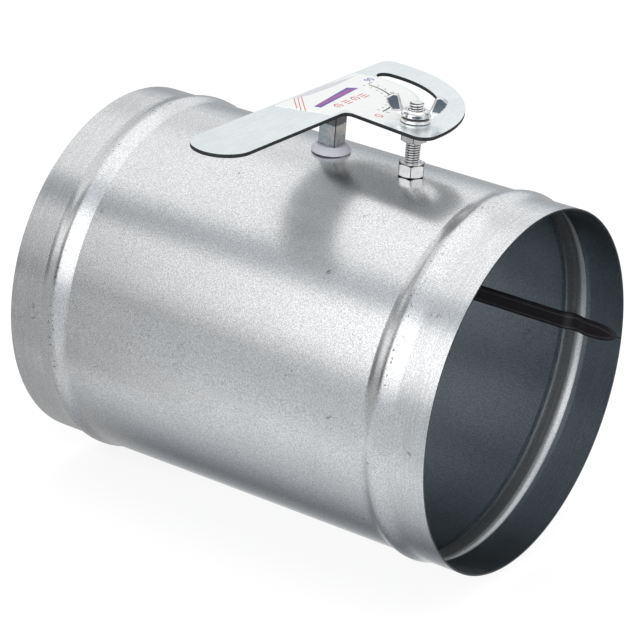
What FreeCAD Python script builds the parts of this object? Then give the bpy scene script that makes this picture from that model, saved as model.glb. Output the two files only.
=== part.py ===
import FreeCAD, Part
import math
import os
import re
import Sketcher

# Manual volume control damper for a round galvanised duct: a beaded sheet tube, a round
# blade on a square shaft, and a slotted quadrant handle clamped to a fixed stud.
# The origin is the centre of the open outlet end. The duct runs along X, the outlet faces
# +X, and the shaft stands along Z halfway along the tube. The blade is drawn shut.
# Lengths are millimetres.

SIZES = [
    ("tube_length", 200.0, "duct body, end to end"),
    ("tube_radius", 75.0, "outside radius of the plain tube"),
    ("sheet_thickness", 0.7, "galvanised sheet"),
    ("bead_from_end", 22.0, "crest of each rolled bead, from the tube's end"),
    ("bead_height", 1.5, "bead crest above the plain tube"),
    ("bead_crest_radius", 8.0, "outside radius across the bead's crest"),
    ("bead_root_radius", 9.0, "outside radius where the bead runs out"),
    ("seam_strip_width", 7.6, "sealing strip over the lengthwise seam"),
    ("seam_strip_thickness", 0.8, "sealing strip"),
    ("seam_strip_end_gap", 2.0, "bare seam between the strip and the tube's end"),
    ("seam_strip_end_radius", 3.0, "rounding of the strip's ends"),
    ("shaft_side", 8.0, "square shaft, across its faces"),
    ("shaft_corner_radius", 0.6, "rounded corners of the drawn bar"),
    ("shaft_foot", 2.0, "shaft end below the lower bush"),
    ("bush_flange_radius", 8.0, "flange outside the tube"),
    ("bush_flange_rim", 0.9, "thickness at the flange's rim"),
    ("bush_height", 3.2, "flange rim's seat to the bush's top"),
    ("bush_top_radius", 6.1, "flat top of the bush"),
    ("bush_sleeve_radius", 6.3, "sleeve that turns in the tube's hole"),
    ("bush_sleeve_depth", 3.6, "sleeve below the flange"),
    ("bush_lip", 0.4, "snap lip beyond the sleeve"),
    ("bush_lip_height", 1.4, "snap lip along the sleeve"),
    ("running_clearance", 0.1, "between pieces that turn in or on each other"),
    ("fit_clearance", 0.05, "between pieces that are pushed together"),
    ("blade_gap", 1.5, "blade edge to the tube's inner face"),
    ("blade_thickness", 1.0, "blade sheet"),
    ("blade_notch_clearance", 0.8, "blade to the inner end of each bush"),
    ("blade_screw_height", 35.0, "each blade screw, above or below the duct axis"),
    ("blade_screw_radius", 2.0, "blade screw shank"),
    ("blade_screw_flats", 7.0, "across the flats of the screw head and nut"),
    ("blade_screw_head", 2.8, "height of the screw head"),
    ("blade_screw_tail", 1.4, "thread end beyond the nut"),
    ("blade_nut_height", 3.2, "blade nut"),
    ("blade_washer_radius", 4.5, "blade washer"),
    ("blade_washer_thickness", 0.8, "blade washer"),
    ("stud_distance", 38.0, "shaft axis to stud axis, which is the slot's radius"),
    ("stud_radius", 3.0, "threaded stud"),
    ("stud_height", 30.0, "stud end above the tube"),
    ("stud_head_height", 4.0, "stud head inside the tube"),
    ("stud_hole_clearance", 0.2, "radial, in the tube and the washers"),
    ("nut_flats", 10.0, "across the flats of the stud's head and nuts"),
    ("nut_height", 5.2, "nuts on the stud"),
    ("washer_radius", 6.0, "washers on the stud"),
    ("washer_thickness", 1.2, "washers on the stud"),
    ("plate_height", 22.2, "handle plate's top above the tube"),
    ("plate_thickness", 1.5, "handle plate"),
    ("lever_width", 25.0, "lever part of the handle plate"),
    ("lever_reach", 87.0, "shaft axis to the lever's tip"),
    ("fan_reach", 52.4, "shaft axis to the fan's outer corner"),
    ("fan_front_inner", 10.2, "fan's front edge from the shaft axis, beside the lever"),
    ("fan_front_outer", 16.0, "fan's front edge from the shaft axis, at its corner"),
    ("fan_back", 56.0, "shaft axis to the fan's rear corner"),
    ("fan_arc_radius", 61.5, "curved outer edge of the fan"),
    ("fan_inner_corner_radius", 3.0, "corner between the lever and the fan"),
    ("fan_front_corner_radius", 6.0, "front corner of the fan"),
    ("fan_back_corner_radius", 5.0, "rear corner of the fan"),
    ("slot_width", 7.6, "arc slot round the shaft"),
    ("slot_end_angle", 1.5, "slot beyond the stud's place at each end of the travel"),
    ("handle_travel", 90.0, "degrees from shut to open"),
    ("label_margin", 1.2, "label's edge inside the plate's and the slot's"),
    ("label_thickness", 0.15, "printed label"),
    ("label_rear_left", 25.0, "label's rear edge from the shaft axis, on the lever's left"),
    ("label_rear_right", 18.0, "label's rear edge from the shaft axis, on the lever's right"),
    ("wing_hub_radius", 5.7, "foot of the wing nut"),
    ("wing_hub_rim", 1.5, "straight foot of the wing nut"),
    ("wing_hub_height", 3.4, "hub of the wing nut"),
    ("wing_hub_top_radius", 4.4, "top of the wing nut's hub"),
    ("wing_span", 24.0, "across the wing tips"),
    ("wing_height", 8.8, "foot to the top of the wings"),
    ("wing_thickness", 1.8, "each wing"),
    ("wing_width", 5.0, "each wing across its top"),
    ("wing_tip_radius", 1.0, "rounded corners of each wing"),
    ("wing_angle", 30.0, "degrees of the wings from the duct axis"),
]

ALIAS = re.compile(r"[a-z]+(?:_[a-z]+)+")

document = FreeCAD.newDocument("volume_control_damper")
sheet = document.addObject("Spreadsheet::Sheet", "Sizes")
for row, (alias, value, meaning) in enumerate(SIZES, start=1):
    sheet.set(f"A{row}", meaning)
    sheet.set(f"B{row}", str(value))
    sheet.setAlias(f"B{row}", alias)
document.recompute()

# Heights above the duct axis that several pieces share.
INNER_RADIUS = "(tube_radius - sheet_thickness)"
PLATE_TOP = "(tube_radius + plate_height)"
PLATE_UNDERSIDE = "(tube_radius + plate_height - plate_thickness)"
SUPPORT_WASHER_TOP = f"({PLATE_UNDERSIDE} - running_clearance)"
SUPPORT_NUT_TOP = f"({SUPPORT_WASHER_TOP} - washer_thickness)"
CLAMP_WASHER_FOOT = f"({PLATE_TOP} + label_thickness + running_clearance)"
WING_NUT_FOOT = f"({CLAMP_WASHER_FOOT} + washer_thickness + running_clearance)"
BUSH_SEAT = "(tube_radius + running_clearance)"
STUD_WASHER_TOP = f"sqrt({INNER_RADIUS} ^ 2 - washer_radius ^ 2)"
STUD_HEAD_TOP = f"({STUD_WASHER_TOP} - washer_thickness)"
SHAFT_X = "-tube_length / 2"
BLADE_FACE = "(shaft_side / 2 + blade_thickness)"
BORE = "(stud_radius + fit_clearance)"


def formula(text):
    """Give each size in an expression the name of its sheet."""
    return ALIAS.sub(lambda word: "Sizes." + word.group(0), text)


def number(text):
    """Work out an expression of sizes."""
    return float(sheet.evalExpression(formula(text)))


def new_body(label, x="0", y="0", z="0", axis=(0, 0, 1), angle="0"):
    """Start a piece and place it. Its place and turn follow the sizes."""
    body = document.addObject("PartDesign::Body", label)
    body.Label = label
    turn = FreeCAD.Rotation(FreeCAD.Vector(*axis), number(angle))
    body.Placement = FreeCAD.Placement(FreeCAD.Vector(), turn)
    for letter, text in zip("xyz", (x, y, z)):
        body.setExpression(f"Placement.Base.{letter}", formula(text))
    if any(word in angle for word in ("_angle", "_travel")):
        body.setExpression("Placement.Rotation.Angle", formula(angle))
    return body


def new_sketch(body, name, plane, height="0"):
    """Put a sketch on one of the body's own planes, or at a height above it."""
    sketch = body.newObject("Sketcher::SketchObject", f"{body.Name}_{name}")
    origin_plane = next(o for o in body.Origin.OriginFeatures if o.Role == plane)
    sketch.AttachmentSupport = [(origin_plane, "")]
    sketch.MapMode = "FlatFace"
    if height != "0":
        sketch.setExpression("AttachmentOffset.Base.z", formula(height))
    return sketch


def pin_point(sketch, geometry, point, x, y):
    """Tie a point of a sketch to a pair of expressions."""
    for kind, text in (("DistanceX", x), ("DistanceY", y)):
        constraint = Sketcher.Constraint(kind, -1, 1, geometry, point, number(text))
        index = sketch.addConstraint(constraint)
        sketch.setExpression(f"Constraints[{index}]", formula(text))


def tie_radius(sketch, geometry, text):
    """Tie the radius of a circle or an arc to an expression."""
    index = sketch.addConstraint(Sketcher.Constraint("Radius", geometry, number(text)))
    sketch.setExpression(f"Constraints[{index}]", formula(text))


def arc_between(start, end, radius, turn):
    """Make the short arc from start to end. It turns left for 1 and right for -1."""
    chord = end - start
    half = chord.Length / 2
    left = FreeCAD.Vector(-chord.y, chord.x, 0).normalize()
    rise = math.sqrt(max(radius ** 2 - half ** 2, 0))
    centre = (start + end) * 0.5 + left * (rise * turn)
    first, last = (start, end) if turn > 0 else (end, start)
    angles = [math.atan2(p.y - centre.y, p.x - centre.x) for p in (first, last)]
    if angles[1] < angles[0]:
        angles[1] += 2 * math.pi
    circle = Part.Circle(centre, FreeCAD.Vector(0, 0, 1), radius)
    return Part.ArcOfCircle(circle, *angles)


def draw_outline(sketch, corners):
    """Draw a closed outline. A corner is its x and y and, where an arc leaves it, the
    arc's radius and its turn, 1 to the left or -1 to the right."""
    spots = [FreeCAD.Vector(number(c[0]), number(c[1]), 0) for c in corners]
    ends = []
    for index, corner in enumerate(corners):
        start, end = spots[index], spots[(index + 1) % len(spots)]
        if len(corner) == 2:
            geometry = sketch.addGeometry(Part.LineSegment(start, end))
            ends.append((geometry, 1, 2))
            continue
        radius, turn = corner[2:]
        geometry = sketch.addGeometry(arc_between(start, end, number(radius), turn))
        ends.append((geometry, 1, 2) if turn > 0 else (geometry, 2, 1))
    for index, (geometry, start_point, _) in enumerate(ends):
        before, _, end_point = ends[index - 1]
        sketch.addConstraint(
            Sketcher.Constraint("Coincident", before, end_point, geometry, start_point)
        )
        pin_point(sketch, geometry, start_point, *corners[index][:2])
        if len(corners[index]) > 2:
            tie_radius(sketch, geometry, corners[index][2])


def draw_circle(sketch, x, y, radius):
    """Draw a circle tied to its centre and radius."""
    centre = FreeCAD.Vector(number(x), number(y), 0)
    circle = Part.Circle(centre, FreeCAD.Vector(0, 0, 1), number(radius))
    geometry = sketch.addGeometry(circle)
    pin_point(sketch, geometry, 3, x, y)
    tie_radius(sketch, geometry, radius)


def draw_square(sketch, half_side):
    """Draw a square round the sketch's origin."""
    low = f"-{half_side}"
    draw_outline(sketch, [(low, low), (half_side, low), (half_side, half_side), (low, half_side)])


def draw_hexagon(sketch, flats):
    """Draw a hexagon round the sketch's origin, with corners on its x axis."""
    corner = f"({flats} / sqrt(3))"
    draw_outline(sketch, [
        (corner, "0"),
        (f"{corner} / 2", f"{flats} / 2"),
        (f"-{corner} / 2", f"{flats} / 2"),
        (f"-{corner}", "0"),
        (f"-{corner} / 2", f"-{flats} / 2"),
        (f"{corner} / 2", f"-{flats} / 2"),
    ])


def add_pad(body, sketch, length):
    """Raise a sketch along its normal."""
    pad = body.newObject("PartDesign::Pad", f"{sketch.Name}_pad")
    pad.Profile = sketch
    pad.setExpression("Length", formula(length))
    return pad


def add_turn(body, sketch, axis, kind="PartDesign::Revolution"):
    """Turn a sketch a full circle about one of its own axes."""
    turned = body.newObject(kind, f"{sketch.Name}_turn")
    turned.Profile = sketch
    turned.ReferenceAxis = (sketch, [axis])
    turned.Angle = 360
    return turned


def add_cut(body, sketch, both_ways=False, reverse=False):
    """Cut a sketch through everything, and make sure that it cut something."""
    document.recompute()
    before = body.Shape.Volume
    pocket = body.newObject("PartDesign::Pocket", f"{sketch.Name}_pocket")
    pocket.Profile = sketch
    pocket.Type = "ThroughAll"
    pocket.Midplane = both_ways
    pocket.Reversed = reverse
    document.recompute()
    if not body.Shape.Volume < before:
        raise ValueError(f"{pocket.Name} cut nothing")
    return pocket


def upright_edges(body, x, y):
    """Find the body's edges that stand along its own Z at a point."""
    place = FreeCAD.Vector(number(x), number(y), 0)
    found = []
    for index, edge in enumerate(body.Tip.Shape.Edges, start=1):
        start, end = edge.Vertexes[0].Point, edge.Vertexes[-1].Point
        flat = FreeCAD.Vector(start.x, start.y, 0)
        if (end - start).cross(FreeCAD.Vector(0, 0, 1)).Length < 1e-6:
            if edge.Length > 1e-6 and (flat - place).Length < 1e-4:
                found.append(f"Edge{index}")
    return found


def round_corner(body, x, y, radius):
    """Round the upright edge at a corner."""
    document.recompute()
    edges = upright_edges(body, x, y)
    base = body.Tip
    fillet = body.newObject("PartDesign::Fillet", f"{body.Name}_corner")
    fillet.Base = (base, edges)
    fillet.setExpression("Radius", formula(radius))
    document.recompute()


def wall_line(depth, half_length):
    """Corners of a line from the inlet end to the outlet end, at a depth below the
    tube's outer face, over both beads."""
    reach = "(bead_crest_radius + bead_root_radius)"
    half_bead = f"sqrt(bead_height * (2 * {reach} - bead_height))"
    share = f"(bead_crest_radius - {depth}) / {reach}"
    crest_centre = "(tube_radius + bead_height - bead_crest_radius)"
    bend_radius = f"{crest_centre} + {share} * ({reach} - bead_height)"
    level = f"tube_radius - {depth}"
    root = f"bead_root_radius + {depth}"
    crest = f"bead_crest_radius - {depth}"
    corners = [(f"-{half_length}", level)]
    for side in (-1, 1):
        middle = f"{side} * (tube_length / 2 - bead_from_end)"
        corners += [
            (f"{middle} - {half_bead}", level, root, 1),
            (f"{middle} - {share} * {half_bead}", bend_radius, crest, -1),
            (f"{middle} + {share} * {half_bead}", bend_radius, root, 1),
            (f"{middle} + {half_bead}", level),
        ]
    corners.append((half_length, level))
    return corners


def backwards(corners):
    """Follow a line the other way, with each arc turning the other way."""
    turned = []
    for index in range(len(corners) - 1, -1, -1):
        arc = corners[index - 1][2:] if index else ()
        turned.append(corners[index][:2] + ((arc[0], -arc[1]) if arc else ()))
    return turned


def make_tube_shell():
    """Rolled sheet tube with a bead near each end and holes for the shaft and stud."""
    body = new_body("tube_shell", x=SHAFT_X)
    half = "(tube_length / 2)"
    wall = new_sketch(body, "wall", "XZ_Plane")
    inner_line = wall_line("sheet_thickness", half)
    draw_outline(wall, wall_line("0", half) + backwards(inner_line))
    add_turn(body, wall, "H_Axis")
    bush_holes = new_sketch(body, "bush_holes", "XY_Plane")
    draw_circle(bush_holes, "0", "0", "bush_sleeve_radius + running_clearance")
    add_cut(body, bush_holes, both_ways=True)
    stud_hole = new_sketch(body, "stud_hole", "XY_Plane")
    draw_circle(stud_hole, "stud_distance", "0", "stud_radius + stud_hole_clearance")
    add_cut(body, stud_hole, reverse=True)


def make_seam_strip():
    """Sealing strip along the seam on the inside, which follows the beads."""
    body = new_body("seam_sealing_strip", x=SHAFT_X, axis=(1, 0, 0), angle="-90")
    half = "(tube_length / 2 - seam_strip_end_gap)"
    section = new_sketch(body, "section", "XZ_Plane")
    outer_depth = "(sheet_thickness + fit_clearance)"
    inner_line = wall_line(f"({outer_depth} + seam_strip_thickness)", half)
    draw_outline(section, wall_line(outer_depth, half) + backwards(inner_line))
    strip = add_turn(body, section, "H_Axis")
    strip.Midplane = True
    width_angle = f"seam_strip_width / {INNER_RADIUS} * 180 / pi"
    strip.setExpression("Angle", formula(width_angle))
    document.recompute()
    corner_edges = []
    for index, edge in enumerate(strip.Shape.Edges, start=1):
        start, end = edge.Vertexes[0].Point, edge.Vertexes[-1].Point
        if abs(start.x - end.x) < 1e-6 and abs(start.x) > number(half) - 1e-6:
            if abs(edge.Length - number("seam_strip_thickness")) < 1e-4:
                corner_edges.append(f"Edge{index}")
    rounding = body.newObject("PartDesign::Fillet", "seam_strip_ends")
    rounding.Base = (strip, corner_edges)
    rounding.setExpression("Radius", formula("seam_strip_end_radius"))


def make_bush(label, angle):
    """Flanged bush that turns with the shaft: flange outside the tube, a sleeve in the
    tube's hole and a snap lip inside."""
    body = new_body(label, x=SHAFT_X, axis=(1, 0, 0), angle=angle)
    sleeve = "bush_sleeve_radius"
    lip = "bush_sleeve_radius + bush_lip"
    foot = f"({BUSH_SEAT} - bush_sleeve_depth)"
    section = new_sketch(body, "section", "XZ_Plane")
    draw_outline(section, [
        ("0", foot),
        (sleeve, foot),
        (lip, f"{foot} + bush_lip_height / 2"),
        (lip, f"{foot} + bush_lip_height"),
        (sleeve, f"{foot} + bush_lip_height"),
        (sleeve, BUSH_SEAT),
        ("bush_flange_radius", BUSH_SEAT),
        ("bush_flange_radius", f"{BUSH_SEAT} + bush_flange_rim"),
        ("bush_top_radius", f"{BUSH_SEAT} + bush_height"),
        ("0", f"{BUSH_SEAT} + bush_height"),
    ])
    add_turn(body, section, "V_Axis")
    square_hole = new_sketch(body, "square_hole", "XY_Plane")
    draw_square(square_hole, "(shaft_side / 2 + fit_clearance)")
    add_cut(body, square_hole, both_ways=True)


def make_shaft():
    """Square shaft through both bushes, welded to the handle plate, with two cross holes
    for the blade screws."""
    body = new_body("square_shaft", x=SHAFT_X)
    foot = f"(-{BUSH_SEAT} - bush_height - shaft_foot)"
    section = new_sketch(body, "section", "XY_Plane", height=foot)
    draw_square(section, "(shaft_side / 2)")
    body.Tip = add_pad(body, section, f"{PLATE_UNDERSIDE} - {foot}")
    for x in ("shaft_side / 2", "-shaft_side / 2"):
        for y in ("shaft_side / 2", "-shaft_side / 2"):
            round_corner(body, x, y, "shaft_corner_radius")
    cross_holes = new_sketch(body, "cross_holes", "YZ_Plane")
    for side in ("", "-"):
        hole = "blade_screw_radius + fit_clearance"
        draw_circle(cross_holes, "0", f"{side}blade_screw_height", hole)
    add_cut(body, cross_holes, both_ways=True)


def make_blade():
    """Round blade on the shaft's outlet side, notched round the bushes."""
    body = new_body("blade_disc", x=SHAFT_X)
    disc = new_sketch(body, "disc", "YZ_Plane", height="shaft_side / 2")
    draw_circle(disc, "0", "0", f"{INNER_RADIUS} - blade_gap")
    add_pad(body, disc, "blade_thickness")
    half_notch = "(bush_sleeve_radius + bush_lip + blade_notch_clearance)"
    notch_foot = f"({BUSH_SEAT} - bush_sleeve_depth - blade_notch_clearance)"
    for name, side in (("upper_notch", ""), ("lower_notch", "-")):
        notch = new_sketch(body, name, "YZ_Plane")
        corners = [
            (f"-{half_notch}", f"{side}{notch_foot}"),
            (half_notch, f"{side}{notch_foot}"),
            (half_notch, f"{side}tube_radius"),
            (f"-{half_notch}", f"{side}tube_radius"),
        ]
        draw_outline(notch, corners)
        add_cut(body, notch, both_ways=True)
    screw_holes = new_sketch(body, "screw_holes", "YZ_Plane")
    for side in ("", "-"):
        hole = "blade_screw_radius + fit_clearance"
        draw_circle(screw_holes, "0", f"{side}blade_screw_height", hole)
    add_cut(body, screw_holes, both_ways=True)


def chamfer_hexagon(body, flats, height):
    """Turn off the corners of a hexagon that stands on its body's XY plane, at both ends."""
    flat = f"{flats} / 2"
    beyond = f"({flats} / sqrt(3) + washer_thickness)"
    drop = f"(({flats} / sqrt(3) + washer_thickness - {flats} / 2) / sqrt(3))"
    cutter = new_sketch(body, "corner_chamfer", "XZ_Plane")
    draw_outline(cutter, [(flat, height), (beyond, f"{height} - {drop}"), (beyond, height)])
    draw_outline(cutter, [(flat, "0"), (beyond, "0"), (beyond, drop)])
    add_turn(body, cutter, "V_Axis", kind="PartDesign::Groove")


def make_nut(label, flats, height, bore, **place):
    """Hexagon nut that stands on its own XY plane."""
    body = new_body(label, **place)
    section = new_sketch(body, "section", "XY_Plane")
    draw_hexagon(section, flats)
    draw_circle(section, "0", "0", bore)
    add_pad(body, section, height)
    chamfer_hexagon(body, flats, height)


def make_washer(label, radius, thickness, bore, **place):
    """Flat washer that lies on its own XY plane."""
    body = new_body(label, **place)
    section = new_sketch(body, "section", "XY_Plane")
    draw_circle(section, "0", "0", radius)
    draw_circle(section, "0", "0", bore)
    add_pad(body, section, thickness)


def make_bolt(label, flats, head, shank_radius, shank_length, **place):
    """Hexagon bolt with its head's foot on its own XY plane."""
    body = new_body(label, **place)
    head_section = new_sketch(body, "head", "XY_Plane")
    draw_hexagon(head_section, flats)
    add_pad(body, head_section, head)
    shank = new_sketch(body, "shank", "XY_Plane")
    draw_circle(shank, "0", "0", shank_radius)
    add_pad(body, shank, f"{head} + {shank_length}")


def make_blade_fasteners():
    """Two screws with washers and nuts that clamp the blade to the shaft."""
    bore = "blade_screw_radius + fit_clearance"
    across = {"axis": (0, 1, 0), "angle": "90"}
    grip = f"{BLADE_FACE} + shaft_side / 2 + blade_washer_thickness + blade_nut_height"
    for name, side in (("upper", ""), ("lower", "-")):
        height = f"{side}blade_screw_height"
        make_bolt(
            f"blade_screw_{name}", "blade_screw_flats", "blade_screw_head",
            "blade_screw_radius", f"{grip} + blade_screw_tail",
            x=f"{SHAFT_X} - shaft_side / 2 - blade_screw_head", z=height, **across,
        )
        make_washer(
            f"blade_washer_{name}", "blade_washer_radius", "blade_washer_thickness", bore,
            x=f"{SHAFT_X} + {BLADE_FACE}", z=height, **across,
        )
        make_nut(
            f"blade_nut_{name}", "blade_screw_flats", "blade_nut_height", bore,
            x=f"{SHAFT_X} + {BLADE_FACE} + blade_washer_thickness", z=height, **across,
        )


def make_stud_stack():
    """Stud with its head inside the tube, two nuts and three washers."""
    stud_x = f"{SHAFT_X} + stud_distance"
    washer_bore = "stud_radius + stud_hole_clearance"
    head_foot = f"({STUD_HEAD_TOP} - stud_head_height)"
    make_bolt(
        "stud_bolt", "nut_flats", "stud_head_height", "stud_radius",
        f"tube_radius + stud_height - {STUD_HEAD_TOP}", x=stud_x, z=head_foot,
    )
    for label, foot in (
        ("stud_head_washer", STUD_HEAD_TOP),
        ("plate_support_washer", SUPPORT_NUT_TOP),
        ("clamp_washer", CLAMP_WASHER_FOOT),
    ):
        make_washer(label, "washer_radius", "washer_thickness", washer_bore, x=stud_x, z=foot)
    for label, foot in (
        ("stud_lock_nut", "tube_radius"),
        ("plate_support_nut", f"{SUPPORT_NUT_TOP} - nut_height"),
    ):
        make_nut(label, "nut_flats", "nut_height", BORE, x=stud_x, z=foot)


def make_handle_plate():
    """Flat lever and fan with an arc slot round the shaft."""
    body = new_body("handle_plate", x=SHAFT_X, z=PLATE_UNDERSIDE)
    half = "lever_width / 2"
    shoulder = "(-lever_reach + lever_width / 2)"
    inner_corner = (half, "-fan_front_inner")
    front_corner = ("fan_reach", "-fan_front_outer")
    back_corner = (f"-{half}", "fan_back")
    outline = new_sketch(body, "outline", "XY_Plane")
    draw_outline(outline, [
        (f"-{half}", shoulder, half, 1),
        ("0", "-lever_reach", half, 1),
        (half, shoulder),
        inner_corner,
        front_corner + ("fan_arc_radius", 1),
        back_corner,
    ])
    body.Tip = add_pad(body, outline, "plate_thickness")
    round_corner(body, *inner_corner, "fan_inner_corner_radius")
    round_corner(body, *front_corner, "fan_front_corner_radius")
    round_corner(body, *back_corner, "fan_back_corner_radius")
    ends = {"slot_start": "-slot_end_angle", "slot_end": "(handle_travel + slot_end_angle)"}
    for name, angle in ends.items():
        end_hole = new_sketch(body, name, "XY_Plane")
        x = f"stud_distance * cos({angle})"
        y = f"stud_distance * sin({angle})"
        draw_circle(end_hole, x, y, "slot_width / 2")
        add_cut(body, end_hole, both_ways=True)
    slot_section = new_sketch(body, "slot_section", "XZ_Plane")
    near, far = "(stud_distance - slot_width / 2)", "(stud_distance + slot_width / 2)"
    draw_outline(slot_section, [
        (near, "-plate_thickness"),
        (far, "-plate_thickness"),
        (far, "2 * plate_thickness"),
        (near, "2 * plate_thickness"),
    ])
    before = body.Shape.Volume
    slot = add_turn(body, slot_section, "V_Axis", kind="PartDesign::Groove")
    slot.setExpression("Angle", formula("handle_travel + 2 * slot_end_angle"))
    slot_section.setExpression("AttachmentOffset.Rotation.Angle", formula("-slot_end_angle"))
    slot_section.AttachmentOffset = FreeCAD.Placement(
        FreeCAD.Vector(), FreeCAD.Rotation(FreeCAD.Vector(0, 1, 0), -number("slot_end_angle"))
    )
    document.recompute()
    if not body.Shape.Volume < before:
        raise ValueError("the slot cut nothing")


def make_label():
    """Printed label on the plate, over the shaft and up to the slot."""
    body = new_body("scale_label", x=SHAFT_X, z=PLATE_TOP)
    side = "(lever_width / 2 - label_margin)"
    arc = "(stud_distance - slot_width / 2 - label_margin)"
    slope = "((fan_front_outer - fan_front_inner) / (fan_reach - lever_width / 2))"
    lift = "(fan_front_inner - label_margin)"
    rise = f"({lift} - {slope} * lever_width / 2)"
    reach = (
        f"(-{rise} * {slope} + sqrt((1 + {slope} ^ 2) * {arc} ^ 2 - {rise} ^ 2))"
        f" / (1 + {slope} ^ 2)"
    )
    outline = new_sketch(body, "outline", "XY_Plane")
    draw_outline(outline, [
        (f"-{side}", "-label_rear_left"),
        (side, "-label_rear_right"),
        (side, f"-({rise} + {slope} * {side})"),
        (reach, f"-({rise} + {slope} * ({reach}))", arc, 1),
        (f"-{side}", f"sqrt({arc} ^ 2 - {side} ^ 2)"),
    ])
    add_pad(body, outline, "label_thickness")


def make_wing_nut():
    """Wing nut: a round hub with two upswept wings."""
    stud_x = f"{SHAFT_X} + stud_distance"
    body = new_body("wing_nut", x=stud_x, z=WING_NUT_FOOT, angle="wing_angle")
    hub = new_sketch(body, "hub", "XZ_Plane")
    draw_outline(hub, [
        ("0", "0"),
        ("wing_hub_radius", "0"),
        ("wing_hub_radius", "wing_hub_rim"),
        ("wing_hub_top_radius", "wing_hub_height"),
        ("0", "wing_hub_height"),
    ])
    add_turn(body, hub, "V_Axis")
    tip = "(wing_span / 2)"
    inside = f"({tip} - wing_width)"
    corner = "wing_tip_radius"
    for name, side in (("near_wing", ""), ("far_wing", "-")):
        left = 1 if side == "" else -1
        wing = new_sketch(body, name, "XZ_Plane", height="-wing_thickness / 2")
        draw_outline(wing, [
            (f"{side}{BORE}", "wing_hub_rim / 2"),
            (f"{side}(wing_hub_radius - {corner} / 2)", "wing_hub_rim / 2"),
            (f"{side}({tip} - wing_width / 2)", "wing_hub_height - wing_hub_rim / 2"),
            (f"{side}{tip}", f"wing_height - 2 * {corner}", corner, left),
            (f"{side}({tip} - {corner})", f"wing_height - {corner}"),
            (f"{side}({inside} + {corner})", "wing_height", corner, left),
            (f"{side}{inside}", f"wing_height - {corner}"),
            (f"{side}wing_hub_top_radius", "wing_hub_height"),
            (f"{side}{BORE}", "wing_hub_height"),
        ])
        add_pad(body, wing, "wing_thickness")
    bore = new_sketch(body, "bore", "XY_Plane")
    draw_circle(bore, "0", "0", BORE)
    add_cut(body, bore, both_ways=True)


make_tube_shell()
make_seam_strip()
make_bush("upper_bush", "0")
make_bush("lower_bush", "180")
make_shaft()
make_blade()
make_blade_fasteners()
make_stud_stack()
make_handle_plate()
make_label()
make_wing_nut()
document.recompute()

# Nothing is written unless every object and every piece is sound.
for item in document.Objects:
    if "Invalid" in item.State or "Error" in item.State:
        raise ValueError(f"{item.Name} failed: {item.State}")
pieces = [item for item in document.Objects if item.TypeId == "PartDesign::Body"]
for piece in pieces:
    if piece.Shape.isNull() or not piece.Shape.isValid():
        raise ValueError(f"{piece.Label} has no sound shape")

os.makedirs("parts", exist_ok=True)
for piece in pieces:
    piece.Shape.exportStep(f"parts/{piece.Label}.step")
    box = piece.Shape.BoundBox
    print(
        f"{piece.Label}: solids {len(piece.Shape.Solids)}, volume {piece.Shape.Volume:.1f},"
        f" x {box.XMin:.2f} to {box.XMax:.2f}, y {box.YMin:.2f} to {box.YMax:.2f},"
        f" z {box.ZMin:.2f} to {box.ZMax:.2f}"
    )
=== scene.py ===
import math

import bmesh
import bpy
from mathutils import Matrix, Vector


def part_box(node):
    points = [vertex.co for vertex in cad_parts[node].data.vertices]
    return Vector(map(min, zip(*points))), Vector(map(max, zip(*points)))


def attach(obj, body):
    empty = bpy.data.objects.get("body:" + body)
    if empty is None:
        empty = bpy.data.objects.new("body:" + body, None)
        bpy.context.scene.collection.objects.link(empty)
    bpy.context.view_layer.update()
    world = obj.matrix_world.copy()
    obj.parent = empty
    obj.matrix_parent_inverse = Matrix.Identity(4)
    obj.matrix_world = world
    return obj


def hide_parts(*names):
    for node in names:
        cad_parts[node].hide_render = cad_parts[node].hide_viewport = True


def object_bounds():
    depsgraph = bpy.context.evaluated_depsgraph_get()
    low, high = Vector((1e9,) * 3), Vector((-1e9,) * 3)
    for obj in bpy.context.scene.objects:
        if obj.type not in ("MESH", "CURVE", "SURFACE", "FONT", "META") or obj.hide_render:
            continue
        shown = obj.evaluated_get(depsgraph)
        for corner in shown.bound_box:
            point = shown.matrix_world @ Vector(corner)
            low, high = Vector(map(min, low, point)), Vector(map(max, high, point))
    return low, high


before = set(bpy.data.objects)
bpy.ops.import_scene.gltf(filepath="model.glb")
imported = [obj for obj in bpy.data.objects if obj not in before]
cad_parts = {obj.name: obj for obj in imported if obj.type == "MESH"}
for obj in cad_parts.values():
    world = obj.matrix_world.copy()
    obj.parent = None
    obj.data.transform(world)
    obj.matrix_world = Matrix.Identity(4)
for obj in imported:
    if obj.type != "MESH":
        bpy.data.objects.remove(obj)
cad_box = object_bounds()

# Manual volume control damper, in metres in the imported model's frame: +X out of the outlet,
# +Z up along the shaft, the lever towards -Y.

MM = 0.001
UP = Vector((0, 0, 1))

# Places that several pieces share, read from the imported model.
SHAFT_LOW, SHAFT_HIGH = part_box("square_shaft")
SHAFT_X = (SHAFT_LOW.x + SHAFT_HIGH.x) / 2
INLET_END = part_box("tube_shell")[0].x
LABEL_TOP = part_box("scale_label")[1].z
WING_LOW, WING_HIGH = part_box("wing_nut")
BEAD_FROM_END = 22 * MM

# Turns that bring +Z to a fastener's axis.
UPRIGHT = Matrix.Identity(3)
ALONG_DUCT = Matrix.Rotation(math.radians(90), 3, "Y")

# Camera, measured from the photo: its turn round the shaft, height angle, roll and place.
CAMERA_AZIMUTH = math.radians(33.013)
CAMERA_ELEVATION = math.radians(23.038)
CAMERA_ROLL = math.radians(4.263)
CAMERA_DISTANCE = 1.1981
CAMERA_SIDEWAYS = 0.735 * MM
CAMERA_UPWARDS = 1.328 * MM
CAMERA_LENS = 165.07


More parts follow.
